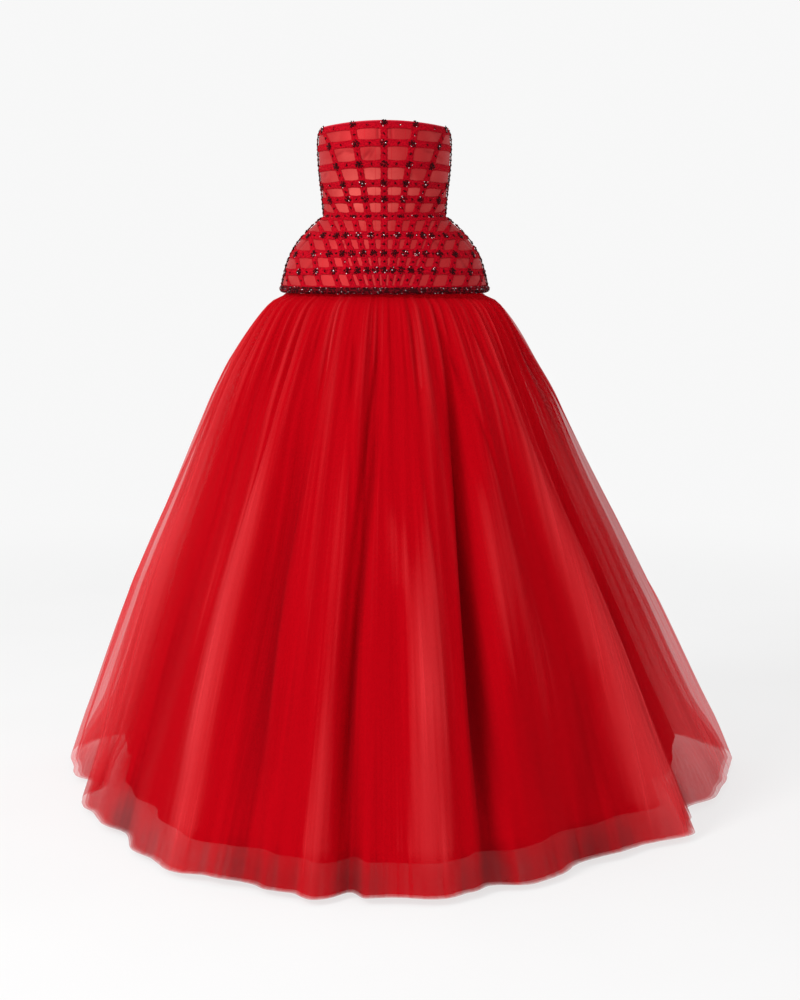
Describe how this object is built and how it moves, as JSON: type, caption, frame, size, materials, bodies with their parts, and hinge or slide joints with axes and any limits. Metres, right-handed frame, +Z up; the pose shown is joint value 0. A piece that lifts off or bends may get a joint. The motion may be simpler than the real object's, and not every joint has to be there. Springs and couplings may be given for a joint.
{
  "type": "strapless ball gown",
  "caption": "Full-length strapless ball gown: fitted bodice and peplum under a beaded lattice, beaded hem roll, full gathered tulle skirt over a shorter lining, zip at the centre back.",
  "frame": {"origin": "centre of the waist seam ring, where the wearer's waist holds the gown", "axes": "+Z up, the front faces -Y, +X to the wearer's left"},
  "size_m": [1.5037, 1.4619, 1.4093],
  "materials": {
    "corset": "satin under layer, lighter coral red",
    "band": "matte red tape with beads",
    "tulle": "sheer net in several layers",
    "lining": "soft satin",
    "beads": "dark red and clear beads",
    "binding": "satin",
    "zip": "red nylon coil"
  },
  "bodies": {
    "root": {"bodice_front": "corset", "bodice_back_left": "corset", "bodice_back_right": "corset", "peplum_front": "corset", "peplum_back_left": "corset", "peplum_back_right": "corset", "lattice_bodice_front": "band", "lattice_bodice_back_left": "band", "lattice_bodice_back_right": "band", "lattice_peplum_front": "band", "lattice_peplum_back_left": "band", "lattice_peplum_back_right": "band", "neckline_binding": "binding", "hem_roll": "beads", "zip_chain": "zip", "zip_slider": "zip", "tulle_front": "tulle", "tulle_side_left": "tulle", "tulle_side_right": "tulle", "tulle_back_left": "tulle", "tulle_back_right": "tulle", "lining_front": "lining", "lining_side_left": "lining", "lining_side_right": "lining", "lining_back_left": "lining", "lining_back_right": "lining"}
  },
  "joints": []
}
